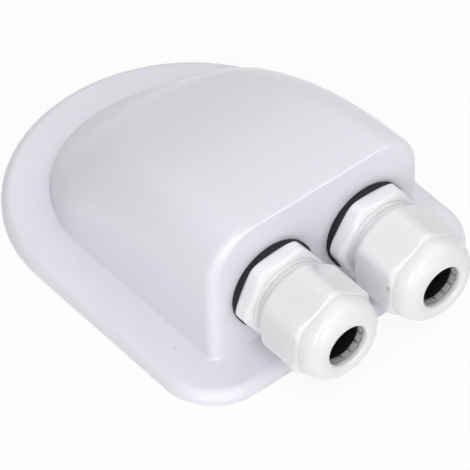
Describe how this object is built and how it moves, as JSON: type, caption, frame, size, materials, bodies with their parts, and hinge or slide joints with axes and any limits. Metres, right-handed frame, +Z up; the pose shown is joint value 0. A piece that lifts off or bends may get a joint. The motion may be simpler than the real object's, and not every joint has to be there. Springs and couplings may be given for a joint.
{
  "type": "solar roof cable entry box",
  "caption": "Domed white roof housing with a glue flange and screwed cable glands in its upright front wall, leading solar panel cables through a vehicle roof.",
  "frame": {"origin": "middle of the box's footprint, at roof level", "axes": "+Z up from the roof, -Y out of the front wall with the glands, +X to the right seen from the front wall towards the rear"},
  "size_m": [0.106, 0.1474, 0.0478],
  "materials": {
    "housing_abs": "glossy moulded ABS, white with a faint lilac tint",
    "gland_nylon": "satin white nylon",
    "claw_nylon": "matt off-white nylon",
    "washer_rubber": "matt dark rubber",
    "seal_rubber": "matt black rubber"
  },
  "bodies": {
    "base": {"housing": "housing_abs", "washer_left": "washer_rubber", "gland_body_left": "gland_nylon", "lock_nut_left": "gland_nylon", "washer_right": "washer_rubber", "gland_body_right": "gland_nylon", "lock_nut_right": "gland_nylon"},
    "insert_left": {"claw_ring_left": "claw_nylon", "seal_left": "seal_rubber"},
    "nut_left": {"dome_nut_left": "gland_nylon"},
    "insert_right": {"claw_ring_right": "claw_nylon", "seal_right": "seal_rubber"},
    "nut_right": {"dome_nut_right": "gland_nylon"}
  },
  "joints": [
    {"name": "insert_left_feed", "type": "slide", "parent": "base", "child": "insert_left", "axis": [0, -1, 0], "range_m": [0, 0.00565]},
    {"name": "nut_left_turn", "type": "hinge", "parent": "insert_left", "child": "nut_left", "pos_m": [-0.01725, -0.061, 0.0228], "axis": [0, -1, 0], "range_deg": [0, 1440]},
    {"name": "insert_right_feed", "type": "slide", "parent": "base", "child": "insert_right", "axis": [0, -1, 0], "range_m": [0, 0.00565]},
    {"name": "nut_right_turn", "type": "hinge", "parent": "insert_right", "child": "nut_right", "pos_m": [0.01725, -0.061, 0.0228], "axis": [0, -1, 0], "range_deg": [0, 1440]}
  ],
  "couplings": [
    {"joint": "insert_left_feed", "follows": "nut_left_turn", "m_per_rad": 0.00022441},
    {"joint": "insert_right_feed", "follows": "nut_right_turn", "m_per_rad": 0.00022441}
  ]
}
